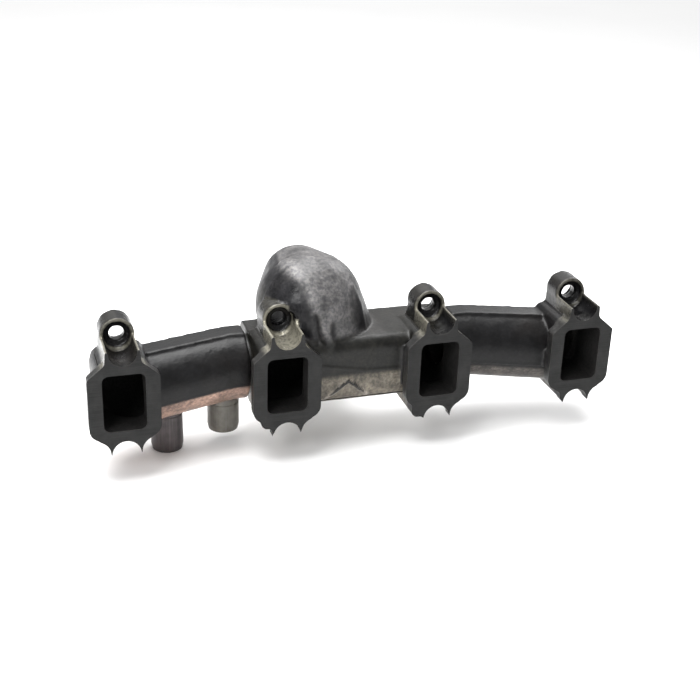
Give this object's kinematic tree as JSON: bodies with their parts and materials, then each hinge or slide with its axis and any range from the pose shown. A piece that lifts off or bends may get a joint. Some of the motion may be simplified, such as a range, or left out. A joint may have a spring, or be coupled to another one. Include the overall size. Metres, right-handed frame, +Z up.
{
  "type": "exhaust manifold",
  "caption": "Cast log exhaust manifold with flanged rectangular ports, bolt lugs, slip-jointed end sections, a turned-back outlet hood and stub tubes.",
  "frame": {"origin": "on the plane of the port faces, midway between ports 2 and 3, at the height of the port centres", "axes": "+X along the row of ports from port 1 to port 4, +Y away from the cylinder head, +Z up"},
  "size_m": [0.412, 0.1462, 0.1447],
  "materials": {
    "cast_body": "dark as-cast skin, semi-gloss",
    "seal_ring": "ground",
    "stub_steel": "heat-tinted, dull",
    "stud_steel": "plated"
  },
  "bodies": {
    "centre": {"centre_section": "cast_body", "front_ring_inner": "seal_ring", "front_ring_middle": "seal_ring", "front_ring_outer": "seal_ring", "rear_ring_inner": "seal_ring", "rear_ring_middle": "seal_ring", "rear_ring_outer": "seal_ring", "outlet_studs": "stud_steel"},
    "front": {"front_section": "cast_body", "front_stub_tube": "stub_steel", "middle_stub_tube": "stub_steel"},
    "rear": {"rear_section": "cast_body"}
  },
  "joints": [
    {"name": "front_slip", "type": "slide", "parent": "centre", "child": "front", "axis": [-1, 0, 0], "range_m": [-0.0025, 0.0025]},
    {"name": "rear_slip", "type": "slide", "parent": "centre", "child": "rear", "axis": [1, 0, 0], "range_m": [-0.0025, 0.0025]}
  ]
}
